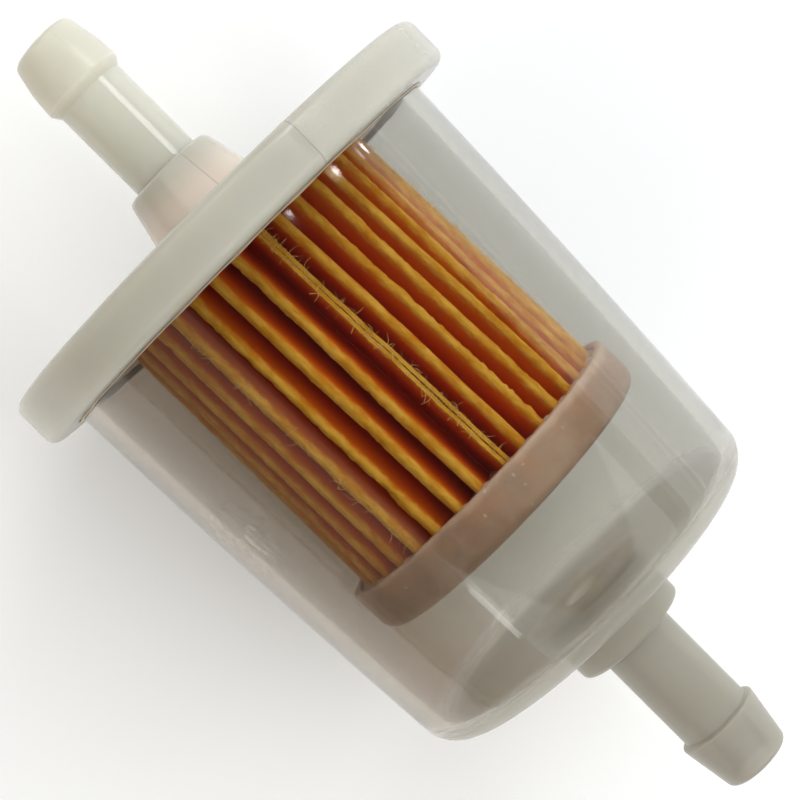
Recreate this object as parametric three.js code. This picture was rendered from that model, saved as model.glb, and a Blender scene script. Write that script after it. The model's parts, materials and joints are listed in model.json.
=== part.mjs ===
// An inline fuel filter for small engines: a clear bowl and a milky cap, each with a hose nipple,
// bonded round a leaning cartridge of pleated paper. Millimetres.
// Every piece is turned about +Y here, with height 0 at the underside of the cap's flange and the
// outlet nipple up. The last group lays that axis along +X with the origin at mid length.
import * as THREE from 'three';

// Gap kept between pieces that touch, and the facets of the turned pieces.
const fitGap = 0.3;
const turnedFacets = 64;
const arcSteps = 4;

// Paper: one strip folded into pleats, its two ends standing side by side at the seam.
const paperDiameter = 27.8;
const pleatDepth = 5.4;
const pleatCount = 36;
const paperThickness = 0.35;
const foldWidth = 0.85;
const paperEmbedding = 1.2;
const seamGlueThickness = 0.25;
const seamAngle = THREE.MathUtils.degToRad(82);

// Cartridge: the paper between a ring of potting and a moulded cup, leaning a little in the bowl.
const cartridgeLength = 31.3;
const cartridgeLean = THREE.MathUtils.degToRad(1.4);
const pottingLip = 0.7;
const pottingBase = 0.51;
const discSideRoom = 0.7;
const discWall = 0.8;
const discBase = 1.2;
const discHeight = 4.45;
const discRounding = 1.2;
const discPottingThickness = 0.9;

// Bowl: a tapered cup whose wall bows out a little, with a short boss and the inlet nipple.
const bowlWall = 1.5;
const bowlSideRoom = 4.85;
const bowlFloorRoom = 9.95;
const bowlMiddleDepth = 18.2;
const bowlMiddleTaper = 0.7;
const bowlFootTaper = 1.85;
const bowlFootRounding = 2.9;
const bowlBossShoulder = 2.1;
const bowlBossHeight = 4.4;
const bowlBossRounding = 0.5;

// Cap: a flange with a skirt round the bowl's mouth, a spigot inside it that stops short of the
// flange's underside, and a conical boss.
const capPlateThickness = 2.0;
const flangeOverhang = 3.5;
const flangeRounding = 0.9;
const rimAdhesiveThickness = 0.8;
const spigotWall = 1.4;
const spigotSetback = 0.4;
const capBossHeight = 5.45;
const capBossTopShoulder = 1.1;
const capBossFootShoulder = 2.4;
const capBossRounding = 0.5;

// Nipples for 1/4 in fuel hose: a bulb with a soft back at the outlet, a sharp barb at the inlet.
const outletNipple = {
  length: 15.4,
  tubeDiameter: 6.7,
  wall: 1.25,
  barbHeight: 0.55,
  barbPeakFromTip: 5.0,
  barbLength: 6.2,
  barbRounding: 0.8,
  tipInset: 0.15,
  tipRounding: 0.45,
};
const inletNipple = {
  length: 16.0,
  tubeDiameter: 7.0,
  wall: 1.4,
  barbHeight: 0.575,
  barbPeakFromTip: 5.2,
  barbLength: 5.5,
  barbRounding: 0.25,
  tipInset: 0.25,
  tipRounding: 0.5,
};

// Radii and heights that several pieces share, worked outwards from the paper.
const paperRadius = paperDiameter / 2;
const paperCoreRadius = paperRadius - pleatDepth;
const discRadius = paperRadius + discSideRoom + discWall;
const mouthRadius = paperRadius + bowlSideRoom + bowlWall;
const flangeRadius = mouthRadius + flangeOverhang;
const pottingChannel = paperEmbedding + fitGap + paperRadius * Math.sin(cartridgeLean);
const capRecess = pottingChannel + pottingBase + fitGap;
const bowlEntry = capRecess - rimAdhesiveThickness - 2 * fitGap;
const flangeThickness = capRecess + capPlateThickness;
const capBossTop = flangeThickness + capBossHeight;
const outletTip = capBossTop + outletNipple.length;
const discFloor = cartridgeLength - discBase;
const paperEnd = discFloor - discPottingThickness - 2 * fitGap;
const bowlDepth = cartridgeLength + bowlFloorRoom + bowlWall;
const bowlBossEnd = bowlDepth + bowlBossHeight;
const inletTip = bowlBossEnd + inletNipple.length;

// An outline whose corners are [radius, height, rounding], each rounding an arc tangent to both sides.
function roundedOutline(corners) {
  const outline = [];
  corners.forEach(([x, y, rounding = 0], i) => {
    const corner = new THREE.Vector2(x, y);
    if (rounding === 0) {
      outline.push(corner);
      return;
    }
    const before = corners.at(i - 1);
    const after = corners[(i + 1) % corners.length];
    const back = new THREE.Vector2(before[0] - x, before[1] - y).normalize();
    const ahead = new THREE.Vector2(after[0] - x, after[1] - y).normalize();
    const halfAngle = Math.acos(back.dot(ahead)) / 2;
    const inward = back.clone().add(ahead).normalize();
    const centre = corner.clone().addScaledVector(inward, rounding / Math.sin(halfAngle));
    const start = corner.clone().addScaledVector(back, rounding / Math.tan(halfAngle)).sub(centre);
    const sweep = (2 * halfAngle - Math.PI) * Math.sign(back.cross(ahead));
    for (let step = 0; step <= arcSteps; step += 1) {
      const turn = start.clone().rotateAround(new THREE.Vector2(), (sweep * step) / arcSteps);
      outline.push(turn.add(centre));
    }
  });
  return outline;
}

// A ring or tube turned from a closed outline that runs anticlockwise, with height up.
function turnedRing(corners) {
  const outline = roundedOutline(corners);
  outline.push(outline[0].clone());
  return new THREE.LatheGeometry(outline, turnedFacets);
}

// A disc turned from an outline that starts and ends on the axis.
function turnedDisc(corners) {
  return new THREE.LatheGeometry(roundedOutline(corners), turnedFacets);
}

// Corners of a nipple from its tube to its bore's mouth, heights counted towards the tip.
function nippleCorners(nipple, tip) {
  const tube = nipple.tubeDiameter / 2;
  return [
    [tube, tip - nipple.barbLength],
    [tube + nipple.barbHeight, tip - nipple.barbPeakFromTip, nipple.barbRounding],
    [tube - nipple.tipInset, tip, nipple.tipRounding],
    [tube - nipple.wall, tip],
  ];
}

function capGeometry() {
  const tube = outletNipple.tubeDiameter / 2;
  const spigotRadius = mouthRadius - bowlWall - fitGap;
  const skirtRadius = mouthRadius + fitGap;
  return turnedRing([
    [tube - outletNipple.wall, capRecess],
    [spigotRadius - spigotWall, capRecess],
    [spigotRadius - spigotWall, spigotSetback],
    [spigotRadius, spigotSetback],
    [spigotRadius, capRecess],
    [skirtRadius, capRecess],
    [skirtRadius, 0],
    [flangeRadius, 0, flangeRounding],
    [flangeRadius, flangeThickness, flangeRounding],
    [tube + capBossFootShoulder, flangeThickness],
    [tube + capBossTopShoulder, capBossTop, capBossRounding],
    [tube, capBossTop],
    ...nippleCorners(outletNipple, outletTip),
  ]);
}

// The bowl's corners are written with depth down from the flange, then turned the right way up.
function bowlGeometry() {
  const tube = inletNipple.tubeDiameter / 2;
  const middle = mouthRadius - bowlMiddleTaper;
  const foot = mouthRadius - bowlFootTaper;
  const boss = tube + bowlBossShoulder;
  const downward = [
    [tube - inletNipple.wall, bowlDepth - bowlWall],
    [foot - bowlWall, bowlDepth - bowlWall, Math.max(bowlFootRounding - bowlWall, fitGap)],
    [middle - bowlWall, bowlMiddleDepth],
    [mouthRadius - bowlWall, 0],
    [mouthRadius - bowlWall, -bowlEntry],
    [mouthRadius, -bowlEntry],
    [mouthRadius, 0],
    [middle, bowlMiddleDepth],
    [foot, bowlDepth, bowlFootRounding],
    [boss, bowlDepth],
    [boss, bowlBossEnd, bowlBossRounding],
    [tube, bowlBossEnd],
    ...nippleCorners(inletNipple, inletTip),
  ];
  return turnedRing(downward.map(([r, depth, rounding]) => [r, -depth, rounding]).reverse());
}

// The glue that fills the groove above the bowl's edge, between the cap's skirt and spigot.
function rimAdhesiveGeometry() {
  const inner = mouthRadius - bowlWall;
  const low = bowlEntry + fitGap;
  const high = low + rimAdhesiveThickness;
  return turnedRing([[inner, low], [mouthRadius, low], [mouthRadius, high], [inner, high]]);
}

// A ring that fills the cap inside its spigot, with a channel that takes the leaning paper's end.
function capPottingGeometry() {
  const high = pottingChannel + pottingBase;
  const channelOuter = paperRadius + fitGap;
  const channelInner = paperCoreRadius - fitGap;
  const outer = mouthRadius - bowlWall - spigotWall - 2 * fitGap;
  return turnedRing([
    [channelInner - pottingLip, 0],
    [channelInner, 0],
    [channelInner, pottingChannel],
    [channelOuter, pottingChannel],
    [channelOuter, 0],
    [outer, 0],
    [outer, high],
    [channelInner - pottingLip, high],
  ]);
}

// A point on the folded strip: how far it stands from the axis and beside the pleat's middle.
function pleatPoint(angle, radius, beside) {
  const direction = new THREE.Vector2(Math.cos(angle), Math.sin(angle));
  const across = new THREE.Vector2(-direction.y, direction.x);
  return direction.multiplyScalar(radius).addScaledVector(across, beside);
}

// One face of the strip from end to end, set in from the outer face by part of its thickness.
function stripFace(inset) {
  const pitch = (2 * Math.PI) / pleatCount;
  const ridgeHalf = foldWidth / 2 - inset;
  const valleyHalf = foldWidth / 2 - paperThickness + inset;
  const valleyRadius = paperCoreRadius + paperThickness - inset;
  const seamHalf = seamGlueThickness / 2 + fitGap + paperThickness - inset;
  const points = [pleatPoint(0, paperRadius, seamHalf)];
  for (let pleat = 0; pleat < pleatCount; pleat += 1) {
    const valleyAngle = (pleat + 0.5) * pitch;
    points.push(pleatPoint(valleyAngle, valleyRadius, -valleyHalf));
    points.push(pleatPoint(valleyAngle, valleyRadius, valleyHalf));
    if (pleat < pleatCount - 1) {
      const ridgeAngle = (pleat + 1) * pitch;
      points.push(pleatPoint(ridgeAngle, paperRadius - inset, -ridgeHalf));
      points.push(pleatPoint(ridgeAngle, paperRadius - inset, ridgeHalf));
    }
  }
  points.push(pleatPoint(0, paperRadius, -seamHalf));
  return points;
}

// A flat outline drawn with the seam at angle 0, run from the potting's channel into the end cup.
function alongPaper(outline) {
  const geometry = new THREE.ExtrudeGeometry(new THREE.Shape(outline), {
    depth: paperEmbedding + paperEnd,
    bevelEnabled: false,
  });
  geometry.rotateZ(seamAngle);
  geometry.rotateX(Math.PI / 2);
  geometry.translate(0, paperEmbedding, 0);
  return geometry;
}

function paperGeometry() {
  return alongPaper([...stripFace(0), ...stripFace(paperThickness).reverse()]);
}

// The glue between the two ends of the strip, from just outside the inner folds almost to the edge.
function seamGlueGeometry() {
  const half = seamGlueThickness / 2;
  const inner = paperCoreRadius + foldWidth;
  const outer = paperRadius - paperThickness;
  return alongPaper([
    new THREE.Vector2(inner, -half),
    new THREE.Vector2(outer, -half),
    new THREE.Vector2(outer, half),
    new THREE.Vector2(inner, half),
  ]);
}

function discGeometry() {
  const inside = discRadius - discWall;
  const rim = discHeight - cartridgeLength;
  return turnedDisc([
    [0, -cartridgeLength],
    [discRadius, -cartridgeLength, discRounding],
    [discRadius, rim],
    [inside, rim],
    [inside, -discFloor],
    [0, -discFloor],
  ]);
}

// A plate under the paper's end with a plug that rises inside the pleats.
function discPottingGeometry() {
  const radius = discRadius - discWall - fitGap;
  const plug = paperCoreRadius - fitGap;
  const low = fitGap - discFloor;
  const high = low + discPottingThickness;
  const plugTop = high + fitGap + paperEmbedding;
  return turnedDisc([
    [0, low],
    [radius, low],
    [radius, high],
    [plug, high],
    [plug, plugTop],
    [0, plugTop],
  ]);
}

function piece(name, geometry, color, roughness) {
  const material = new THREE.MeshStandardMaterial({ color, roughness, metalness: 0 });
  const mesh = new THREE.Mesh(geometry, material);
  mesh.name = name;
  return mesh;
}

// The paper with its seam's glue, its end cup and the potting in it, leaning as one.
function leaningCartridge() {
  const group = new THREE.Group();
  group.add(
    piece('pleated_paper', paperGeometry(), 0xd98a2b, 0.85),
    piece('seam_glue', seamGlueGeometry(), 0xb98a3c, 0.45),
    piece('end_disc', discGeometry(), 0xd9c4b4, 0.4),
    piece('disc_potting', discPottingGeometry(), 0xd2b8a6, 0.5),
  );
  group.rotation.z = cartridgeLean;
  return group;
}

const filter = new THREE.Group();
filter.add(
  piece('outlet_cap', capGeometry(), 0xe4e1d3, 0.35),
  piece('bowl', bowlGeometry(), 0xc9c6bb, 0.15),
  piece('rim_adhesive', rimAdhesiveGeometry(), 0xcdb98a, 0.4),
  piece('cap_potting', capPottingGeometry(), 0xdcc3b2, 0.5),
  leaningCartridge(),
);

// Height becomes +X, which turns the seam's side of the paper up, and mid length comes to the origin.
filter.rotation.z = -Math.PI / 2;
filter.position.x = (inletTip - outletTip) / 2;

const fuelFilter = new THREE.Group();
fuelFilter.add(filter);
export default fuelFilter;
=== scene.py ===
import json
import math
import random

import bpy
from mathutils import Matrix, Vector, noise


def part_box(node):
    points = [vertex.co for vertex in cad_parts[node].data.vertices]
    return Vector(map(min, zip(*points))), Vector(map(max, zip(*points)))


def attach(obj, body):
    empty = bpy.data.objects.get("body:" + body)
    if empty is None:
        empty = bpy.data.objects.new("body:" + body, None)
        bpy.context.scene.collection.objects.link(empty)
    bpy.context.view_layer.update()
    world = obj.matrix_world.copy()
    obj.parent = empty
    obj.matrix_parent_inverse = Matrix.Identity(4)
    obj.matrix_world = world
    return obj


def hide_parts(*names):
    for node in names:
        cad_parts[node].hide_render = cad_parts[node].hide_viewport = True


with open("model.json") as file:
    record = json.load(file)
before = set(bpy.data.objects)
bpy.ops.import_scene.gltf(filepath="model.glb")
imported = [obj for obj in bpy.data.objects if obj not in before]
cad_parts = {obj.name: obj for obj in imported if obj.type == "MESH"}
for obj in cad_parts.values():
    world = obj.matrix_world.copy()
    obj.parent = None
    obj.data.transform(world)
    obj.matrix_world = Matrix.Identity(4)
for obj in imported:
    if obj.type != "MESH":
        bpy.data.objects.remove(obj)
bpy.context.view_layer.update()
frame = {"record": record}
mm = 0.001

# Stations along the filter's axis and radii, all read from the CAD
mounts = {mount["name"]: mount["pos_m"] for mount in frame["record"]["mounts"]}
bowlLow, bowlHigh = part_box("bowl")
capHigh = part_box("outlet_cap")[1]
paperLow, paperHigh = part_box("pleated_paper")
discLow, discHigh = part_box("end_disc")
pottingLow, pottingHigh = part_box("cap_potting")
flangeBack = pottingLow.x
flangeFace = mounts["flange_face"][0]
outletShoulder, outletTip = mounts["outlet_hose_stop"][0], capHigh.x
inletShoulder, inletTip = mounts["inlet_hose_stop"][0], bowlLow.x
mouthRadius, flangeRadius = bowlHigh.y, capHigh.y
discCentre = (discLow + discHigh) / 2
cartridgeLean = math.atan2(-discCentre.y, flangeBack - discCentre.x)


# Modelling helpers

def deselectAll():
    if bpy.context.mode != "OBJECT":
        bpy.ops.object.mode_set(mode="OBJECT")
    bpy.ops.object.select_all(action="DESELECT")


def pickOnly(piece):
    deselectAll()
    piece.select_set(True)
    bpy.context.view_layer.objects.active = piece


def roundCorners(corners, arcSteps=8):
    # corners are (x, radius, rounding); each rounding becomes an arc tangent to both sides
    outline = []
    for i, corner in enumerate(corners):
        here = Vector(corner[:2])
        rounding = corner[2] if len(corner) > 2 else 0
        if not rounding:
            outline.append(here)
            continue
        back = (Vector(corners[i - 1][:2]) - here).normalized()
        ahead = (Vector(corners[(i + 1) % len(corners)][:2]) - here).normalized()
        half = math.acos(max(-1, min(1, back.dot(ahead)))) / 2
        centre = here + (back + ahead).normalized() * (rounding / math.sin(half))
        start = here + back * (rounding / math.tan(half)) - centre
        turn = math.copysign(math.pi - 2 * half, -(back.x * ahead.y - back.y * ahead.x))
        for step in range(arcSteps + 1):
            arm = start.copy()
            arm.rotate(Matrix.Rotation(turn * step / arcSteps, 2))
            outline.append(centre + arm)
    return outline


def drawWire(name, points):
    # one vertex, pushed from point to point
    deselectAll()
    bpy.ops.mesh.primitive_plane_add(size=mm, location=(0, 0, 0))
    piece = bpy.context.object
    piece.name = piece.data.name = name
    bpy.ops.object.mode_set(mode="EDIT")
    bpy.ops.mesh.select_all(action="SELECT")
    bpy.ops.mesh.merge(type="CENTER")
    bpy.ops.transform.translate(value=points[0])
    for here, there in zip(points, points[1:]):
        bpy.ops.mesh.extrude_vertices_move(TRANSFORM_OT_translate={"value": there - here})
    return piece


def turnPiece(name, corners, steps=160, closed=True, arcSteps=8, smoothAngle=40):
    outline = roundCorners(corners, arcSteps)
    if closed:
        outline.append(outline[0])
    piece = drawWire(name, [Vector((x, 0, radius)) for x, radius in outline])
    bpy.ops.mesh.select_all(action="SELECT")
    bpy.ops.mesh.remove_doubles(threshold=0.0005 * mm)
    bpy.ops.mesh.spin(steps=steps, angle=math.tau, center=(0, 0, 0), axis=(1, 0, 0))
    finishShell(piece, smoothAngle)
    return piece


def finishShell(piece, smoothAngle):
    pickOnly(piece)
    bpy.ops.object.mode_set(mode="EDIT")
    bpy.ops.mesh.select_all(action="SELECT")
    bpy.ops.mesh.remove_doubles(threshold=0.0005 * mm)
    bpy.ops.mesh.normals_make_consistent(inside=False)
    bpy.ops.object.mode_set(mode="OBJECT")
    bpy.ops.object.shade_smooth_by_angle(angle=math.radians(smoothAngle))


def lean(piece):
    # the cartridge leans about the point where it meets the cap
    pivot = Vector((flangeBack, 0, 0))
    turn = Matrix.Translation(pivot) @ Matrix.Rotation(cartridgeLean, 4, "Z")
    piece.data.transform(turn @ Matrix.Translation(-pivot))


def settle(piece, node, material):
    piece.data.materials.clear()
    piece.data.materials.append(material)
    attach(piece, "root")
    if node:
        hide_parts(node)


# Shader helpers

class Wire:
    # a socket that takes part in plain arithmetic
    def __init__(self, recipe, socket):
        self.recipe = recipe
        self.socket = socket

    def maths(self, operation, *others):
        return self.recipe.maths(operation, self, *others)

    def __add__(self, other):
        return self.maths("ADD", other)

    def __sub__(self, other):
        return self.maths("SUBTRACT", other)

    def __rsub__(self, other):
        return self.recipe.maths("SUBTRACT", other, self)

    def __mul__(self, other):
        return self.maths("MULTIPLY", other)

    __radd__ = __add__
    __rmul__ = __mul__


class Recipe:
    # a material and the nodes in it
    def __init__(self, name):
        self.material = bpy.data.materials.new(name)
        self.material.use_nodes = True
        self.tree = self.material.node_tree
        self.tree.nodes.clear()

    def node(self, kind, settings=None, values=None, output=0):
        made = self.tree.nodes.new(kind)
        for key, setting in (settings or {}).items():
            setattr(made, key, setting)
        for key, value in (values or {}).items():
            if isinstance(value, Wire):
                self.tree.links.new(value.socket, made.inputs[key])
            else:
                made.inputs[key].default_value = value
        return Wire(self, made.outputs[output]) if made.outputs else made

    def maths(self, operation, *values):
        return self.node("ShaderNodeMath", {"operation": operation}, dict(enumerate(values)))

    def blendColour(self, factor, first, second):
        # factor 0 gives the first colour and 1 the second
        colours = [c if isinstance(c, Wire) else (*c, 1) for c in (first, second)]
        values = {0: factor, 6: colours[0], 7: colours[1]}
        return self.node("ShaderNodeMix", {"data_type": "RGBA"}, values, output=2)

    def blendShader(self, factor, first, second):
        return self.node("ShaderNodeMixShader", values={0: factor, 1: first, 2: second})

    def fade(self, value, low, high):
        # value from low to high becomes 0 to 1, held at both ends; low may be the larger
        values = {0: value, 1: low, 2: high, 3: 0.0, 4: 1.0}
        return self.node("ShaderNodeMapRange", {"interpolation_type": "SMOOTHSTEP"}, values)

    def place(self):
        return self.node("ShaderNodeTexCoord", output="Object")

    def parts(self, vector):
        split = self.node("ShaderNodeSeparateXYZ", values={0: vector})
        outputs = split.socket.node.outputs
        return [Wire(self, outputs[i]) for i in range(3)]

    def grain(self, vector, perMetre, detail=2.0, roughness=0.5, distortion=0.0, stretch=None):
        if stretch:
            vector = self.node("ShaderNodeMapping", values={"Vector": vector, "Scale": stretch})
        values = {"Vector": vector, "Scale": perMetre, "Detail": detail}
        values |= {"Roughness": roughness, "Distortion": distortion}
        return self.node("ShaderNodeTexNoise", values=values)

    def fromAxis(self, y, z):
        return self.maths("SQRT", y * y + z * z)

    def bump(self, height, strength, distance):
        values = {"Height": height, "Strength": strength, "Distance": distance}
        return self.node("ShaderNodeBump", values=values)

    def surface(self, shader, volume=None):
        values = {"Surface": shader}
        if volume:
            values["Volume"] = volume
        self.node("ShaderNodeOutputMaterial", values=values)
        return self.material

    def principled(self, **values):
        named = {key.replace("_", " "): value for key, value in values.items()}
        return self.node("ShaderNodeBsdfPrincipled", values=named)


# Camera: square on to the filter from above, turned so that the outlet points to the upper left
cameraSpec = {
    "aim": Vector((0.635, -0.14, 0)) * mm,
    "foot": 12.6 * mm,
    "distance": 190 * mm,
    "seenWidth": 69.57 * mm,
    "roll": math.radians(45),
    "clipStart": 0.01,
}


def makeCamera(spec):
    bpy.ops.object.camera_add()
    camera = bpy.context.object
    camera.name = "camera"
    place = Vector((spec["foot"], spec["aim"].y, spec["distance"]))
    back = (place - spec["aim"]).normalized()
    axis = Vector((1, 0, 0))
    level = (axis - back * axis.dot(back)).normalized()
    side = level.cross(back)
    up = level * math.cos(spec["roll"]) + side * math.sin(spec["roll"])
    right = up.cross(back)
    camera.matrix_world = Matrix((right, up, back)).transposed().to_4x4()
    camera.location = place
    reach = (place - spec["aim"]).length
    camera.data.angle = 2 * math.atan(spec["seenWidth"] / 2 / reach)
    camera.data.clip_start = spec["clipStart"]
    bpy.context.scene.camera = camera


makeCamera(cameraSpec)
print("camera placed")


# Bowl: clear tapered cup with a short boss and the inlet nipple, one moulding
bowlSpec = {
    "wall": 1.5 * mm,
    "middleTaper": 0.7 * mm,
    "footTaper": 1.85 * mm,
    "wallSteps": 12,
    "footRounding": 2.9 * mm,
    "bossRadius": 5.6 * mm,
    "bossHeight": 4.4 * mm,
    "bossRounding": 0.5 * mm,
    "bossFillet": 0.3 * mm,
    "tube": 3.5 * mm,
    "bore": 2.1 * mm,
    "boreRounding": 0.3 * mm,
    "drainRounding": 0.5 * mm,
    "barbRadius": 4.08 * mm,
    "barbLength": 5.5 * mm,
    "barbStep": 0.2 * mm,
    "barbRounding": 0.25 * mm,
    "tipRadius": 3.25 * mm,
    "tipRounding": 0.6 * mm,
    "edge": 0.15 * mm,
    "turnSteps": 192,
}


def bowlWallLine(spec, inset):
    # the wall bows out a little between the mouth and the foot
    foot = inletShoulder + spec["bossHeight"]
    line = []
    for step in range(spec["wallSteps"] + 1):
        along = step / spec["wallSteps"]
        x = flangeBack + (foot - flangeBack) * along
        bow = 4 * along * (1 - along)
        radius = mouthRadius - spec["footTaper"] * along + spec["bow"] * bow
        line.append((x, radius - inset))
    return line


def makeBowl(spec):
    spec["bow"] = spec["footTaper"] / 2 - spec["middleTaper"]
    floor = inletShoulder + spec["bossHeight"]
    outer = bowlWallLine(spec, 0)
    inner = bowlWallLine(spec, spec["wall"])
    outer[-1] = (floor, outer[-1][1], spec["footRounding"])
    innerFoot = (floor + spec["wall"], inner[-1][1], spec["footRounding"] - spec["wall"])
    tube, edge = spec["tube"], spec["edge"]
    barbBack = inletTip + spec["barbLength"]
    corners = [
        (bowlHigh.x, mouthRadius - spec["wall"], edge),
        (bowlHigh.x, mouthRadius, edge),
        *outer,
        (floor, spec["bossRadius"], spec["bossFillet"]),
        (inletShoulder, spec["bossRadius"], spec["bossRounding"]),
        (inletShoulder, tube, edge),
        (barbBack, tube, edge),
        (barbBack - spec["barbStep"], spec["barbRadius"], spec["barbRounding"]),
        (inletTip, spec["tipRadius"], spec["tipRounding"]),
        (inletTip, spec["bore"], spec["boreRounding"]),
        (floor + spec["wall"], spec["bore"], spec["drainRounding"]),
        innerFoot,
        *reversed(inner[:-1]),
    ]
    return turnPiece("bowl_shell", corners, steps=spec["turnSteps"], smoothAngle=50)


bowl = makeBowl(bowlSpec)
print("bowl turned")


# Cap: milky flange with a conical boss and the outlet nipple, one moulding
capSpec = {
    "plate": 2.0 * mm,
    "overlapGap": 0.3 * mm,
    "spigotWall": 1.4 * mm,
    "spigotSetback": 0.4 * mm,
    "rimRounding": 0.95 * mm,
    "bossFoot": 5.75 * mm,
    "bossFillet": 0.3 * mm,
    "bossTop": 4.45 * mm,
    "bossRounding": 0.55 * mm,
    "tube": 3.35 * mm,
    "bore": 2.1 * mm,
    "boreRounding": 0.2 * mm,
    "edge": 0.12 * mm,
    "barbLength": 6.15 * mm,
    "barbFillet": 0.15 * mm,
    "barbShoulder": (5.35 * mm, 3.93 * mm, 0.75 * mm),  # back from the tip, radius, rounding
    "barbCheek": (3.1 * mm, 3.76 * mm, 8 * mm),
    "tipRadius": 3.14 * mm,
    "tipRounding": 0.8 * mm,
    "tipSlant": 0.035,
    "slantLength": 2.5 * mm,
    "turnSteps": 192,
    "partingAngle": math.radians(22.5),
    "partingWidth": 0.05 * mm,
    "partingHeight": 0.035 * mm,
    "partingOnTube": 0.25,
}


def makeCap(spec):
    recess = flangeFace - spec["plate"]
    spigot = mouthRadius - bowlSpec["wall"] - spec["overlapGap"]
    skirt = mouthRadius + spec["overlapGap"]
    spigotEnd = flangeBack + spec["spigotSetback"]
    tube, edge = spec["tube"], spec["edge"]
    shoulderBack, shoulderRadius, shoulderRounding = spec["barbShoulder"]
    cheekBack, cheekRadius, cheekRounding = spec["barbCheek"]
    corners = [
        (recess, spec["bore"], edge),
        (recess, spigot - spec["spigotWall"], edge),
        (spigotEnd, spigot - spec["spigotWall"], edge),
        (spigotEnd, spigot, edge),
        (recess, spigot, edge),
        (recess, skirt, edge),
        (flangeBack, skirt, edge),
        (flangeBack, flangeRadius, spec["rimRounding"]),
        (flangeFace, flangeRadius, spec["rimRounding"]),
        (flangeFace, spec["bossFoot"], spec["bossFillet"]),
        (outletShoulder, spec["bossTop"], spec["bossRounding"]),
        (outletShoulder, tube, edge),
        (outletTip - spec["barbLength"], tube, spec["barbFillet"]),
        (outletTip - shoulderBack, shoulderRadius, shoulderRounding),
        (outletTip - cheekBack, cheekRadius, cheekRounding),
        (outletTip, spec["tipRadius"], spec["tipRounding"]),
        (outletTip, spec["bore"], spec["boreRounding"]),
    ]
    piece = turnPiece("cap_shell", corners, steps=spec["turnSteps"], smoothAngle=50)
    raisePartingLine(piece, spec)
    # the nipple's end was cut off a little aslant
    for vertex in piece.data.vertices:
        along = max(0, (vertex.co.x - outletTip + spec["slantLength"]) / spec["slantLength"])
        vertex.co.x -= spec["tipSlant"] * along * (spec["tube"] + vertex.co.y)
    return piece


def raisePartingLine(piece, spec):
    # two cuts either side of the mould's split and one along it; the strip between stands proud
    across = Vector((0, math.cos(spec["partingAngle"]), math.sin(spec["partingAngle"])))
    pickOnly(piece)
    bpy.ops.object.mode_set(mode="EDIT")
    for offset in (-2, -1, 0, 1, 2):
        bpy.ops.mesh.select_all(action="SELECT")
        point = across * (offset * spec["partingWidth"])
        bpy.ops.mesh.bisect(plane_co=point, plane_no=across)
    bpy.ops.object.mode_set(mode="OBJECT")
    width = spec["partingWidth"]
    for vertex in piece.data.vertices:
        offset = abs(vertex.co.dot(across)) / width
        radius = math.hypot(vertex.co.y, vertex.co.z)
        outside = vertex.normal.dot(Vector((0, vertex.co.y, vertex.co.z))) > 0
        if offset < 1.5 and outside and radius > spec["tube"] * 0.98:
            rise = spec["partingHeight"] * (1 - offset / 2)
            if vertex.co.x > outletShoulder + 0.2 * mm:
                rise *= spec["partingOnTube"]
            vertex.co += vertex.normal * rise


cap = makeCap(capSpec)
print("cap turned")


# Paper: one strip in pleats, its two ends side by side at the seam
paperSpec = {
    "start": paperHigh.x - 0.4 * mm,
    "finish": paperLow.x + 0.3 * mm,
    "pleats": 36,
    "radius": 13.9 * mm,
    "core": 8.6 * mm,
    "thickness": 0.33 * mm,
    "ridgeFold": 0.3 * mm,
    "valleyFold": 0.24 * mm,
    "foldReach": math.radians(82),
    "valleyTurn": 0.7,  # degrees either way
    "valleyLift": 0.4 * mm,
    "ridgeDrop": 0.18 * mm,
    "ridgeSteps": 5,
    "valleySteps": 3,
    "flankSteps": 3,
    "rows": 92,
    "seamAngle": math.radians(7.0),
    "seamHalf": 0.225 * mm,
    "flare": 0.036,
    "twist": math.radians(1.3),
    "drift": (0.9, -7.1, -1.0, 4.3, 2.1),
    "wander": 0.22 * mm,
    "ripple": 0.07 * mm,
    "fray": 0.36 * mm,
}


def ridgeTurn(index, spec):
    # angle of a ridge from straight up; the pleats are spaced a little unevenly
    even = spec["seamAngle"] + math.tau * index / spec["pleats"]
    base, cosOne, sinOne, cosTwo, sinTwo = spec["drift"]
    drift = base + cosOne * math.cos(even) + sinOne * math.sin(even)
    drift += cosTwo * math.cos(2 * even) + sinTwo * math.sin(2 * even)
    return even + math.radians(drift if index % spec["pleats"] else 0)


def foldPoints(angle, radius, spec, side):
    # an arc over a fold; side is 1 over a ridge and -1 through a valley
    fold = spec["ridgeFold"] if side > 0 else spec["valleyFold"]
    steps = spec["ridgeSteps"] if side > 0 else spec["valleySteps"]
    outward = Vector((0, -math.sin(angle), math.cos(angle)))
    onward = Vector((0, -math.cos(angle), -math.sin(angle)))
    centre = outward * (radius - side * fold)
    points = []
    for step in range(steps + 1):
        bend = spec["foldReach"] * (2 * step / steps - 1)
        lift, shift = fold * math.cos(bend), fold * math.sin(bend)
        points.append(centre + outward * (side * lift) + onward * shift)
    return points


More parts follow.
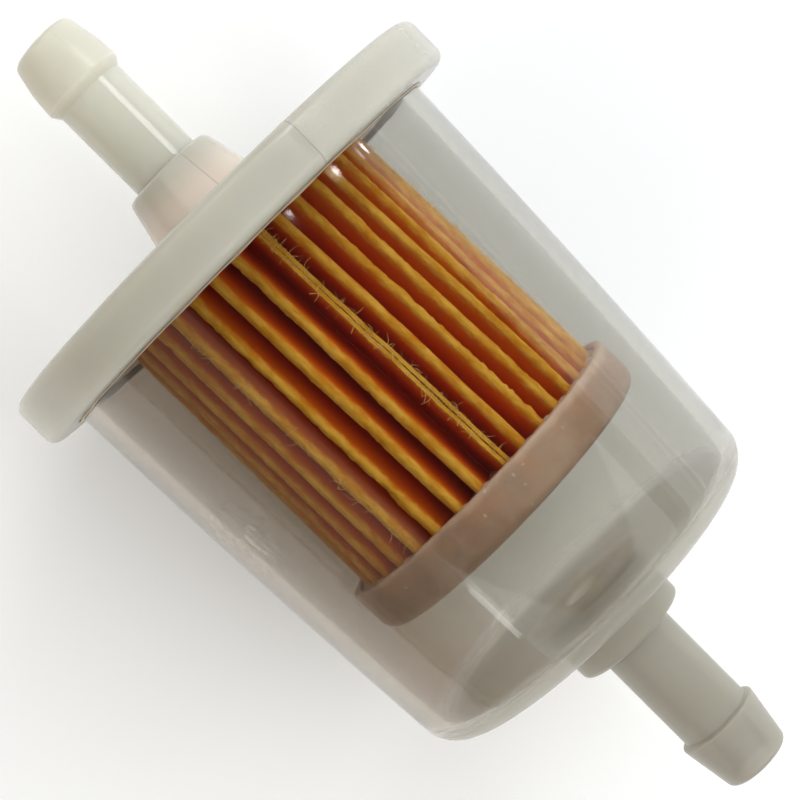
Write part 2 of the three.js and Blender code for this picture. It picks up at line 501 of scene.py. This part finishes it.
def stripPoints(spec):
    chance = random.Random(11)
    half = spec["thickness"] / 2
    outer, inner = spec["radius"] - half, spec["core"]
    seam = spec["seamAngle"]
    outward = Vector((0, -math.sin(seam), math.cos(seam)))
    onward = Vector((0, -math.cos(seam), -math.sin(seam)))
    stations = [[outward * (outer + half) + onward * spec["seamHalf"]]]
    turns = [ridgeTurn(i, spec) for i in range(spec["pleats"] + 1)]
    turns[-1] = turns[0] + math.tau
    for i in range(spec["pleats"]):
        spread = chance.uniform(-spec["valleyTurn"], spec["valleyTurn"])
        valley = (turns[i] + turns[i + 1]) / 2 + math.radians(spread)
        floor = inner + chance.uniform(0, spec["valleyLift"])
        stations.append(foldPoints(valley, floor, spec, -1))
        if i < spec["pleats"] - 1:
            ridge = outer - chance.uniform(0, spec["ridgeDrop"])
            stations.append(foldPoints(turns[i + 1], ridge, spec, 1))
    stations.append([outward * (outer + half) - onward * spec["seamHalf"]])
    points = []
    for here, there in zip(stations, stations[1:]):
        points += here
        for step in range(1, spec["flankSteps"]):
            points.append(here[-1].lerp(there[0], step / spec["flankSteps"]))
    return points + stations[-1]


def makePaper(spec):
    piece = drawSheet("paper_pleats", stripPoints(spec), spec)
    markPaper(piece, spec)
    crumplePaper(piece, spec)
    thickenSheet(piece, spec["thickness"])
    return piece


def drawSheet(name, points, spec):
    # a wire across the cartridge, extruded row by row along it
    start = Vector((spec["start"], 0, 0))
    piece = drawWire(name, [start + point for point in points])
    bpy.ops.mesh.select_all(action="SELECT")
    row = (spec["finish"] - spec["start"]) / spec["rows"]
    for i in range(spec["rows"]):
        bpy.ops.mesh.extrude_region_move(TRANSFORM_OT_translate={"value": (row, 0, 0)})
    bpy.ops.object.mode_set(mode="OBJECT")
    return piece


def thickenSheet(piece, thickness):
    pickOnly(piece)
    thicken = piece.modifiers.new("thickness", "SOLIDIFY")
    thicken.thickness = thickness
    thicken.offset = 0
    bpy.ops.object.modifier_apply(modifier=thicken.name)
    bpy.ops.object.shade_smooth_by_angle(angle=math.radians(60))
    lean(piece)


def markPaper(piece, spec):
    # how far up its pleat each point lies
    height = piece.data.attributes.new("foldHeight", "FLOAT", "POINT")
    for vertex in piece.data.vertices:
        radius = math.hypot(vertex.co.y, vertex.co.z)
        height.data[vertex.index].value = (radius - spec["core"]) / (spec["radius"] - spec["core"])


def crumplePaper(piece, spec):
    # the sheet wanders, ripples, twists and flares along its length
    for vertex in piece.data.vertices:
        x, y, z = vertex.co
        along = (spec["start"] - x) / (spec["start"] - spec["finish"])
        angle = math.atan2(-y, z)
        radius = math.hypot(y, z)
        slow = noise.noise(Vector((angle * 6, along * 1.6, 3.1)))
        quick = noise.noise(Vector((angle * 14, along * 9, 8.7)))
        shift = spec["wander"] * slow + spec["ripple"] * quick
        lift = radius / spec["radius"]
        turn = angle + spec["twist"] * along + shift * lift / spec["radius"]
        radius *= 1 + spec["flare"] * (along - 0.5) * lift
        radius += spec["ripple"] * 0.6 * noise.noise(Vector((angle * 9, along * 6, 1.3))) * lift
        # the folds are frayed, some more than others
        crest = min(1, max(0, (lift - 0.955) / 0.02))
        worn = max(0.12, 0.4 + noise.noise(Vector((angle * 5, along * 2.5, 5.2))))
        if abs(angle - spec["seamAngle"]) < 0.05:
            worn *= 0.3
        tear = noise.noise(Vector((angle * 40, along * 75, 2.6)))
        turn += spec["fray"] * crest * worn * tear / spec["radius"]
        radius -= spec["fray"] * 0.5 * crest * worn * abs(tear)
        vertex.co = (x, -math.sin(turn) * radius, math.cos(turn) * radius)


paperLook = {
    # the deepest flank colour is painted shade in the valleys
    "deep": (0.86, 0.05, 0.0005),
    "shallow": (0.92, 0.21, 0.003),
    "patch": (0.84, 0.09, 0.002),
    "crestDark": (0.66, 0.30, 0.014),
    "crestLight": (0.93, 0.53, 0.075),
    "speck": (0.9, 0.5, 0.12),
    "glow": (0.88, 0.22, 0.01, 1),
    "crestStart": (0.80, 0.955),  # parts of a pleat's depth
}


def paperMaterial(look):
    recipe = Recipe("filterPaper")
    place = recipe.place()
    height = recipe.node("ShaderNodeAttribute", {"attribute_name": "foldHeight"}, output=2)
    fibres = recipe.grain(place, 1400, detail=6, roughness=0.7, stretch=(0.3, 1, 1))
    patches = recipe.fade(recipe.grain(place, 160, detail=3), 0.35, 0.7)
    speckle = recipe.grain(place, 3200, detail=2)
    rough = (fibres - 0.5) * 0.16 + (speckle - 0.5) * 0.08
    ridge = recipe.fade(height + rough, *look["crestStart"])
    # painted shade: the flank colour darkens from the fold's top down into the valley, where the
    # pleats shade each other
    depth = recipe.fade(height, 0.15, 0.9)
    flank = recipe.blendColour(depth, look["deep"], look["shallow"])
    flank = recipe.blendColour(patches * 0.3, flank, look["patch"])
    threads = recipe.fade(fibres, 0.33, 0.67)
    crest = recipe.blendColour(threads, look["crestDark"], look["crestLight"])
    colour = recipe.blendColour(ridge, flank, crest)
    colour = recipe.blendColour(recipe.fade(speckle, 0.62, 0.8) * 0.2, colour, look["speck"])
    sheet = recipe.principled(
        Base_Color=colour,
        Roughness=0.8,
        Specular_IOR_Level=0.1,
        Normal=recipe.bump(fibres + speckle * 0.6, 0.9, 0.12 * mm),
    )
    # light comes through the flanks, and less through the folds
    glow = recipe.node("ShaderNodeBsdfTranslucent", values={"Color": look["glow"]})
    return recipe.surface(recipe.blendShader(0.46 - ridge * 0.36, sheet, glow))


paper = makePaper(paperSpec)
settle(paper, "pleated_paper", paperMaterial(paperLook))
print("paper pleated")


# Loose fibres standing off the folds
fibreSpec = {
    "count": 900,
    "nearSeam": 50,
    "radius": 0.024 * mm,
    "length": (0.12 * mm, 0.85 * mm),
    "shortBias": 2.2,
    "curl": 0.8,
    "stand": 0.35,
    "seamReach": 0.06,  # radians
    "segments": 4,
    "dark": (0.75, 0.42, 0.10),
    "light": (0.92, 0.70, 0.32),
}


def makeHair(spec):
    # a straight hair 1 mm long, standing on the origin
    deselectAll()
    bpy.ops.mesh.primitive_circle_add(vertices=4, radius=spec["radius"], fill_type="NGON")
    hair = bpy.context.object
    bpy.ops.object.mode_set(mode="EDIT")
    bpy.ops.mesh.select_all(action="SELECT")
    for i in range(spec["segments"]):
        step = mm / spec["segments"]
        bpy.ops.mesh.extrude_region_move(TRANSFORM_OT_translate={"value": (0, 0, step)})
    bpy.ops.mesh.select_all(action="SELECT")
    bpy.ops.mesh.normals_make_consistent(inside=False)
    bpy.ops.object.mode_set(mode="OBJECT")
    return hair


def findCrests():
    # foot and normal of every place on the outside of a fold
    heights = paper.data.attributes["foldHeight"].data
    crests = []
    for vertex in paper.data.vertices:
        outward = Vector((0, vertex.co.y, vertex.co.z)).normalized()
        if heights[vertex.index].value > 0.96 and vertex.normal.dot(outward) > 0.3:
            crests.append((vertex.co.copy(), vertex.normal.copy()))
    return crests


def besideSeam(foot, reach):
    return abs(math.atan2(-foot.y, foot.z) - paperSpec["seamAngle"]) < reach


def plantHair(hair, foot, normal, spec, chance):
    copy = hair.copy()
    copy.data = hair.data.copy()
    bpy.context.collection.objects.link(copy)
    shortest, longest = spec["length"]  # most are short
    length = (shortest + (longest - shortest) * chance.random() ** spec["shortBias"]) / mm
    bend = chance.uniform(-spec["curl"], spec["curl"])
    for vertex in copy.data.vertices:
        rise = vertex.co.z / mm
        vertex.co.x += bend * rise * rise * mm
        vertex.co.z *= length
    along = chance.uniform(-1, 1)
    sideways = Vector((along, chance.uniform(-0.8, 0.8), chance.uniform(-0.8, 0.8)))
    aim = (normal * spec["stand"] + sideways).normalized()
    turn = aim.to_track_quat("Z", "Y").to_matrix().to_4x4()
    copy.data.transform(Matrix.Translation(foot) @ turn)
    return copy


def makeFibres(spec):
    chance = random.Random(5)
    crests = findCrests()
    seamCrests = [crest for crest in crests if besideSeam(crest[0], spec["seamReach"])]
    hair = makeHair(spec)
    hairs = []
    for i in range(spec["count"]):
        foot, normal = chance.choice(seamCrests if i < spec["nearSeam"] else crests)
        hairs.append(plantHair(hair, foot, normal, spec, chance))
    deselectAll()
    for copy in hairs:
        copy.select_set(True)
    bpy.context.view_layer.objects.active = hairs[0]
    bpy.ops.object.join()
    fibres = bpy.context.object
    fibres.name = fibres.data.name = "paper_fibres"
    bpy.data.objects.remove(hair)
    return fibres


def fibreMaterial(spec):
    recipe = Recipe("paperFibres")
    tint = recipe.grain(recipe.place(), 900)
    colour = recipe.blendColour(tint, spec["dark"], spec["light"])
    return recipe.surface(recipe.principled(Base_Color=colour, Roughness=0.6))


settle(makeFibres(fibreSpec), None, fibreMaterial(fibreSpec))
print("fibres raised")


# Seam glue: the dark line between the strip's two ends
glueSpec = {
    "innerGap": 0.9 * mm,
    "outerGap": 0.35 * mm,
    "steps": 8,
    "dark": (0.20, 0.06, 0.01),
    "light": (0.38, 0.17, 0.04),
}


def makeSeamGlue(spec, strip):
    seam = strip["seamAngle"]
    outward = Vector((0, -math.sin(seam), math.cos(seam)))
    inner = strip["core"] + spec["innerGap"]
    depth = strip["radius"] - spec["outerGap"] - inner
    points = [outward * (inner + depth * i / spec["steps"]) for i in range(spec["steps"] + 1)]
    piece = drawSheet("seam_bead", points, strip)
    crumplePaper(piece, strip)
    thickenSheet(piece, 2 * strip["seamHalf"] - strip["thickness"])
    return piece


def glueMaterial(spec):
    recipe = Recipe("amberGlue")
    cloud = recipe.grain(recipe.place(), 500, detail=3)
    shader = recipe.principled(
        Base_Color=recipe.blendColour(cloud, spec["dark"], spec["light"]),
        Roughness=0.45 + cloud * 0.2,
        Normal=recipe.bump(cloud, 0.3, 0.05 * mm),
    )
    return recipe.surface(shader)


seamBead = makeSeamGlue(glueSpec, paperSpec)
settle(seamBead, "seam_glue", glueMaterial(glueSpec))
print("seam glued")


# Cartridge ends: the moulded cup, the potting in it, and the potting ring under the cap
cupSpec = {
    "radius": 15.4 * mm,
    "height": 4.45 * mm,
    "wall": 0.8 * mm,
    "base": 1.2 * mm,
    "rounding": 1.3 * mm,
    "rimRounding": 0.3 * mm,
    "innerRounding": 0.4 * mm,
    "length": 31.3 * mm,
    "wave": 0.16 * mm,
    "turnSteps": 180,
    "pottingDrop": 0.4 * mm,
    "pottingRings": 26,
    "pottingTurnSteps": 288,
    "climb": 0.4 * mm,
    "lump": 0.15 * mm,
}


def makeCup(spec):
    end = flangeBack - spec["length"]
    rim = end + spec["height"]
    inside = spec["radius"] - spec["wall"]
    corners = [
        (end, 0),
        (end, spec["radius"], spec["rounding"]),
        (rim, spec["radius"], spec["rimRounding"]),
        (rim, inside, spec["rimRounding"]),
        (end + spec["base"], inside, spec["innerRounding"]),
        (end + spec["base"], 0),
    ]
    piece = turnPiece("end_cup", corners, steps=spec["turnSteps"], closed=False)
    # the rim rises and falls a little on its way round
    for vertex in piece.data.vertices:
        along = (vertex.co.x - end) / spec["height"]
        angle = math.atan2(-vertex.co.y, vertex.co.z)
        around = Vector((math.sin(angle), math.cos(angle), 0))
        wave = noise.noise(around * 2.2)
        wave += 0.6 * noise.noise(around * 7)
        wave += 0.4 * noise.noise(around * 19)
        vertex.co.x += spec["wave"] * wave * max(0, along - 0.5) * 2
    lean(piece)
    return piece


def makeCupPotting(spec):
    end = flangeBack - spec["length"] + spec["base"]
    level = flangeBack - spec["length"] + spec["height"] - spec["pottingDrop"]
    inside = spec["radius"] - spec["wall"]
    rings = spec["pottingRings"]
    corners = [(end, 0), (end, inside, spec["innerRounding"]), (level, inside)]
    for i in range(1, rings):
        corners.append((level, inside * (1 - i / rings)))
    corners.append((level, 0))
    piece = turnPiece("cup_potting", corners, steps=spec["pottingTurnSteps"], closed=False)
    # it climbs the paper's ridges
    seam = paperSpec["seamAngle"] + paperSpec["twist"]
    for vertex in piece.data.vertices:
        radius = math.hypot(vertex.co.y, vertex.co.z)
        if vertex.co.x < level - 0.1 * mm or radius > inside * 0.995:
            continue
        angle = math.atan2(-vertex.co.y, vertex.co.z)
        climb = 0.5 + 0.5 * math.cos(paperSpec["pleats"] * (angle - seam))
        rough = noise.noise(vertex.co * 600)
        near = max(0, 1 - abs(radius - 0.97 * inside) / (0.12 * inside))
        vertex.co.x += spec["climb"] * climb * near + spec["lump"] * rough
    lean(piece)
    return piece


capPottingSpec = {
    "outerReach": 0.25 * mm,
    "innerReach": 1.0 * mm,
    "lowTrim": 0.3 * mm,
    "lowRoundings": (0.3 * mm, 0.4 * mm),
    "highTrim": 0.02 * mm,
    "highRounding": 0.1 * mm,
    "turnSteps": 128,
}


def makeCapPotting(spec):
    outer = pottingHigh.y + spec["outerReach"]
    inner = paperSpec["core"] - spec["innerReach"]
    low = pottingLow.x + spec["lowTrim"]
    high = flangeFace - capSpec["plate"] - spec["highTrim"]
    innerRounding, outerRounding = spec["lowRoundings"]
    corners = [
        (low, inner, innerRounding),
        (low, outer, outerRounding),
        (high, outer, spec["highRounding"]),
        (high, inner, spec["highRounding"]),
    ]
    return turnPiece("cap_potting_ring", corners, steps=spec["turnSteps"])


# light and dark cloud the plastic, the redder tone is painted light, the paper's orange glow
# showing through near it, mottle is the relief
pinkLooks = {
    "cupPlastic": {
        "light": (0.51, 0.37, 0.275),
        "dark": (0.42, 0.28, 0.195),
        "blush": (0.58, 0.34, 0.22),
        "mottle": 0.4,
    },
    "potting": {
        "light": (0.74, 0.53, 0.40),
        "dark": (0.62, 0.42, 0.30),
        "blush": (0.70, 0.46, 0.32),
        "mottle": 0.5,
    },
    # the ring's pale colour is partly the resin's own and partly painted light, brightening the
    # band that the flange shades
    "capPottingResin": {
        "light": (0.84, 0.76, 0.64),
        "dark": (0.76, 0.66, 0.52),
        "blush": (0.8, 0.7, 0.57),
        "mottle": 0.4,
    },
}


def pinkPlastic(name):
    look = pinkLooks[name]
    recipe = Recipe(name)
    place = recipe.place()
    x, y, z = recipe.parts(place)
    cloud = recipe.grain(place, 190, detail=5, roughness=0.65)
    blotch = recipe.grain(place, 330, detail=2)
    fine = recipe.grain(place, 1500, detail=2)
    rim = flangeBack - cupSpec["length"] + cupSpec["height"]
    near = recipe.fade(x + (cloud - 0.5) * 3 * mm, rim - 3.0 * mm, rim - 1.0 * mm)
    colour = recipe.blendColour(recipe.fade(cloud, 0.38, 0.62), look["dark"], look["light"])
    # painted light: redder blotches near the rim, the paper's glow through the plastic
    glowingThrough = near * recipe.fade(blotch, 0.3, 0.7) * 0.8
    colour = recipe.blendColour(glowingThrough, colour, look["blush"])
    # painted highlight: a lighter band along the top of the rim
    edge = recipe.fade(x + (blotch - 0.5) * mm, rim - 0.9 * mm, rim - 0.1 * mm)
    colour = recipe.blendColour(edge * 0.5, colour, (0.86, 0.66, 0.56))
    colour = recipe.blendColour(recipe.fade(fine, 0.7, 0.76) * 0.5, colour, (0.9, 0.8, 0.7))
    shader = recipe.principled(
        Base_Color=colour,
        Roughness=0.3 + cloud * 0.2,
        Subsurface_Weight=0.8,
        Subsurface_Radius=(1.0, 0.6, 0.42),
        Subsurface_Scale=2.0 * mm,
        Normal=recipe.bump(cloud * 0.7 + fine * 0.15, look["mottle"], 0.12 * mm),
    )
    return recipe.surface(shader)


settle(makeCup(cupSpec), "end_disc", pinkPlastic("cupPlastic"))
settle(makeCupPotting(cupSpec), "disc_potting", pinkPlastic("potting"))
capRing = makeCapPotting(capPottingSpec)
settle(capRing, "cap_potting", pinkPlastic("capPottingResin"))
print("cartridge closed")


# Rim adhesive: fills the groove over the bowl's edge and squeezes out under the flange
beadSpec = {
    "clear": 0.02 * mm,
    "tuck": 0.03 * mm,
    "rounding": 0.1 * mm,
    "squeeze": 0.1 * mm,
    "lipWidth": 0.1 * mm,
    "lipRounding": 0.15 * mm,
    "lipEdge": 0.05 * mm,
    "sag": 0.12 * mm,
    "turnSteps": 256,
    "dark": (0.74, 0.60, 0.42),
    "light": (0.86, 0.76, 0.60),
}


def makeRimAdhesive(spec):
    clear = spec["clear"]
    bottom = bowlHigh.x + clear
    top = flangeFace - capSpec["plate"] - clear
    outer = mouthRadius + capSpec["overlapGap"]
    inner = mouthRadius - bowlSpec["wall"]
    wall = mouthRadius + clear
    under = flangeBack - spec["squeeze"]
    corners = [
        (bottom, inner, spec["rounding"]),
        (bottom, wall),
        (under, wall, spec["lipEdge"]),
        (under, outer + spec["lipWidth"], spec["lipRounding"]),
        (flangeBack - clear, outer + 2 * spec["lipWidth"], spec["lipEdge"]),
        (flangeBack - clear, outer - spec["tuck"]),
        (top, outer - spec["tuck"], spec["rounding"]),
        (top, inner, spec["rounding"]),
    ]
    piece = turnPiece("rim_bead", corners, steps=spec["turnSteps"], arcSteps=4)
    for vertex in piece.data.vertices:
        if vertex.co.x < flangeBack:
            vertex.co.x -= spec["sag"] * max(0, noise.noise(vertex.co * 250))
    return piece


def beadMaterial(spec):
    recipe = Recipe("paleGlue")
    cloud = recipe.grain(recipe.place(), 300, detail=3)
    colour = recipe.blendColour(cloud, spec["dark"], spec["light"])
    normal = recipe.bump(cloud, 0.3, 0.05 * mm)
    return recipe.surface(recipe.principled(Base_Color=colour, Roughness=0.4, Normal=normal))


settle(makeRimAdhesive(beadSpec), "rim_adhesive", beadMaterial(beadSpec))


capLook = {
    "dark": (0.455, 0.44, 0.375),
    "light": (0.515, 0.50, 0.435),
    # painted light: the thin nipple is lighter for the light from below that comes through it
    "tube": (0.62, 0.60, 0.51),
    # painted light: the boss is pinker where the paper's orange glow shows through it
    "boss": (0.82, 0.70, 0.60),
    "dirt": (0.25, 0.22, 0.17),
}


def capMaterial(look):
    recipe = Recipe("milkyNylon")
    place = recipe.place()
    x, y, z = recipe.parts(place)
    cloud = recipe.grain(place, 120, detail=3)
    fine = recipe.grain(place, 2600, detail=3, roughness=0.6)
    pebble = recipe.grain(place, 5000, detail=2)
    # frosting on the rim to one side of the parting line, and a darker colour along the line
    parting = capSpec["partingAngle"]
    split = y * math.cos(parting) + z * math.sin(parting)
    beside = recipe.fade(split, 0, -0.3 * mm) * recipe.fade(split, -22 * mm, -14 * mm)
    line = recipe.fade(recipe.maths("ABSOLUTE", split + 0.07 * mm), 0.08 * mm, 0.02 * mm)
    radius = recipe.fromAxis(y, z)
    onRim = recipe.fade(radius, flangeRadius - 1.2 * mm, flangeRadius - 0.3 * mm)
    frost = beside * onRim
    hub = recipe.fade(radius, 7 * mm, 5.5 * mm)
    boss = recipe.fade(x, outletShoulder + 0.3 * mm, outletShoulder - 4.0 * mm) * hub
    tube = recipe.fade(x, outletShoulder - 0.5 * mm, outletShoulder + 0.5 * mm)
    barb = recipe.fade(x, outletTip - capSpec["barbLength"], outletTip - 5 * mm)
    mark = line * (0.5 - tube * 0.42)
    colour = recipe.blendColour(cloud, look["dark"], look["light"])
    # painted light: the tube is lighter for the light from below that comes through its thin wall
    colour = recipe.blendColour(tube, colour, look["tube"])
    # painted light: the boss pinker for the paper's orange glow coming through it
    colour = recipe.blendColour(boss * 0.85, colour, look["boss"])
    colour = recipe.blendColour(mark, colour, look["dirt"])
    height = cloud * 0.2 + fine * (0.04 + onRim * 0.1)
    height += pebble * (onRim * 0.3 + frost * 1.9) - mark * 0.75
    shader = recipe.principled(
        Base_Color=colour,
        Roughness=0.19 + frost * 0.08 - hub * 0.1 + barb * 0.2 + fine * 0.04,
        Subsurface_Weight=0.85,
        Subsurface_Radius=(1.0, 0.9, 0.7),
        Subsurface_Scale=4.0 * mm,
        IOR=1.5,
        Normal=recipe.bump(height, 0.4, 0.05 * mm),
    )
    return recipe.surface(shader)


bowlLook = {
    "middle": (0.78, 0.77, 0.735),
    "sides": (0.69, 0.685, 0.65),
    # painted shade on the +Y side, away from the main light
    "aged": (0.61, 0.545, 0.48),
    "base": (1, 1, 0.99),
    "thick": (0.66, 0.65, 0.61),
    "milkDark": (0.40, 0.375, 0.31),
    "milkLight": (0.47, 0.445, 0.38),
    "milkBase": (0.80, 0.78, 0.70),
    # the pale marks are painted highlights
    "rubbed": (0.82, 0.77, 0.64),
    "murk": (0.78, 0.765, 0.715, 1),
    "murkDensity": 260.0,
    "scuffs": Vector((2, 17.4, 9)) * mm,
}


def bowlMaterial(look):
    recipe = Recipe("clearNylon")
    place = recipe.place()
    x, y, z = recipe.parts(place)
    flow = recipe.grain(place, 70, detail=3, stretch=(0.4, 1, 1))
    haze = recipe.grain(place, 45, detail=3)
    normal = recipe.bump(flow, 0.10, 0.25 * mm)
    floor = inletShoulder + bowlSpec["bossHeight"]
    base = recipe.fade(x, floor + 3.0 * mm, floor + 1.2 * mm)
    thick = recipe.fade(x, floor + 0.5 * mm, floor - 1.0 * mm)
    cloudy = base * (1 - thick)
    gate = cloudy * recipe.fade(recipe.fromAxis(y, z), 8 * mm, 3 * mm)
    sides = recipe.fade(recipe.maths("ABSOLUTE", y), 8 * mm, 18 * mm)
    tint = recipe.blendColour(sides, look["middle"], look["sides"])
    # painted shade: the bowl is darker and browner towards +Y, away from the main light
    tint = recipe.blendColour(recipe.fade(y, 3 * mm, 17 * mm), tint, look["aged"])
    tint = recipe.blendColour(base, tint, look["base"])
    tint = recipe.blendColour(thick, tint, look["thick"])
    glass = recipe.principled(
        Base_Color=tint,
        Roughness=0.025 + haze * 0.03 + base * 0.15,
        Transmission_Weight=1.0,
        IOR=1.5,
        Normal=normal,
    )
    # the lamps shine straight through the wall, and most of the base is seen straight through
    through = recipe.node("ShaderNodeBsdfTransparent")
    lamps = recipe.node("ShaderNodeLightPath", output="Is Shadow Ray")
    clear = recipe.blendShader(lamps + base * 0.68, glass, through)
    # painted highlights: pale milky streaks on the +Y side of the bowl
    highlight = scuffs(recipe, place, look["scuffs"])
    milkColour = recipe.blendColour(haze, look["milkDark"], look["milkLight"])
    milkColour = recipe.blendColour(cloudy, milkColour, look["milkBase"])
    milk = recipe.principled(
        Base_Color=recipe.blendColour(highlight, milkColour, look["rubbed"]),
        Roughness=0.3,
        Subsurface_Weight=0.8,
        Subsurface_Radius=(1.0, 0.9, 0.75),
        Subsurface_Scale=2.5 * mm,
        Normal=normal,
    )
    share = 0.002 + haze * 0.006 + base * 0.24 + gate * 0.4 + thick * 0.42 + highlight * 0.3
    murkValues = {"Color": look["murk"], "Density": look["murkDensity"]}
    murk = recipe.node("ShaderNodeVolumeAbsorption", values=murkValues)
    return recipe.surface(recipe.blendShader(share, clear, milk), murk)


def scuffs(recipe, place, centre):
    # painted highlights: pale streaky marks on one side of the bowl
    subtract = {"operation": "SUBTRACT"}
    offset = recipe.node("ShaderNodeVectorMath", subtract, {0: place, 1: centre})
    reach = recipe.node("ShaderNodeVectorMath", {"operation": "LENGTH"}, {0: offset}, output=1)
    near = recipe.fade(reach, 5.5 * mm, 2.5 * mm)
    grainy = {"detail": 5, "roughness": 0.7, "distortion": 1.5, "stretch": (0.6, 1, 1)}
    streaks = recipe.grain(place, 420, **grainy)
    return near * recipe.fade(streaks, 0.53, 0.62)


settle(cap, "outlet_cap", capMaterial(capLook))
settle(bowl, "bowl", bowlMaterial(bowlLook))
print("plastics mixed")


# Floor and soft lights. A light's angle is from straight up, and plus is towards -Y. Its size is
# across and along the filter, in metres. Reflections don't show a "soft" light, and the view
# through the bowl shows neither a "soft" nor a "solid" one.
studio = {
    "floorDrop": 0.15 * mm,
    "floorSize": 3.0,
    "floorTones": ((0.84, 0.84, 0.84), (0.87, 0.87, 0.87)),
    "floorRoughness": 0.9,
    "floorGlow": 0.17,
    "world": 0.015,
    "distance": 0.55,
    "coolTint": (0.96, 0.985, 1.0),
    "warmTint": (1.0, 0.93, 0.82),
}
lights = {
    "overheadFill": {"watts": 2.45, "angle": 30, "size": (0.5, 0.7), "kind": "soft"},
    "footFill": {"watts": 0.5, "angle": 20, "size": (0.4, 0.3), "along": -0.6, "kind": "soft"},
    "leftFill": {
        "watts": 1.15,
        "angle": -48,
        "size": (0.4, 0.7),
        "kind": "soft",
        "tint": "warmTint",
    },
    "ceilingPanel": {
        "watts": 1.15,
        "angle": 9,
        "size": (1.3, 0.28),
        "along": -0.34,
        "kind": "solid",
    },
    "capPanel": {"watts": 0.7, "angle": 12, "size": (0.9, 0.2), "along": 0.5, "kind": "solid"},
    "leftSoftbox": {"watts": 0.5, "angle": -65, "size": (0.51, 0.9), "tint": "warmTint"},
    "rightSoftbox": {"watts": 0.6, "angle": 84, "size": (0.22, 0.9)},
    "window": {"watts": 1.0, "angle": 53, "size": (0.19, 0.3), "along": 0.2},
    "lampNear": {
        "watts": 0.004,
        "angle": 25.5,
        "size": (0.021, 0.003),
        "along": 0.021,
        "tint": "warmTint",
    },
    "lampMiddle": {
        "watts": 0.013,
        "angle": 56.5,
        "size": (0.03, 0.005),
        "along": 0.021,
        "tint": "warmTint",
    },
    "lampLow": {"watts": 0.012, "angle": -42, "size": (0.03, 0.03), "along": -0.16},
    "lampFar": {"watts": 0.007, "angle": 77.0, "size": (0.015, 0.006), "along": 0.021},
}


def makeFloor(spec):
    deselectAll()
    level = -flangeRadius - spec["floorDrop"]
    bpy.ops.mesh.primitive_plane_add(size=spec["floorSize"], location=(0, 0, level))
    floor = bpy.context.object
    floor.name = "floor"
    recipe = Recipe("paleFloor")
    tone = recipe.grain(recipe.place(), 3, detail=2)
    colour = recipe.blendColour(tone, *spec["floorTones"])
    shader = recipe.principled(
        Base_Color=colour,
        Roughness=spec["floorRoughness"],
        Emission_Color=(1, 1, 1, 1),
        Emission_Strength=spec["floorGlow"],
    )
    floor.data.materials.append(recipe.surface(shader))


def makeLight(name, spec):
    angle = math.radians(spec["angle"])
    away = Vector((0, -math.sin(angle), math.cos(angle)))
    along = Vector((spec.get("along", 0), 0, 0))
    bpy.ops.object.light_add(type="AREA", location=away * studio["distance"] + along)
    light = bpy.context.object
    light.name = name
    light.data.shape = "RECTANGLE"
    light.data.size, light.data.size_y = spec["size"]
    light.data.energy = spec["watts"]
    light.data.color = studio[spec.get("tint", "coolTint")]
    kind = spec.get("kind", "")
    light.visible_camera = False
    light.visible_glossy = kind != "soft"
    light.visible_transmission = kind == ""
    light.rotation_euler = away.to_track_quat("Z", "X").to_euler()


makeFloor(studio)
for name, lamp in lights.items():
    makeLight(name, lamp)
world = bpy.data.worlds.new("studio")
bpy.context.scene.world = world
world.use_nodes = True
world.node_tree.nodes["Background"].inputs["Strength"].default_value = studio["world"]
world.node_tree.nodes["Background"].inputs["Color"].default_value = (1, 1, 1, 1)
bpy.context.scene.view_settings.view_transform = "Standard"
print("studio lit")
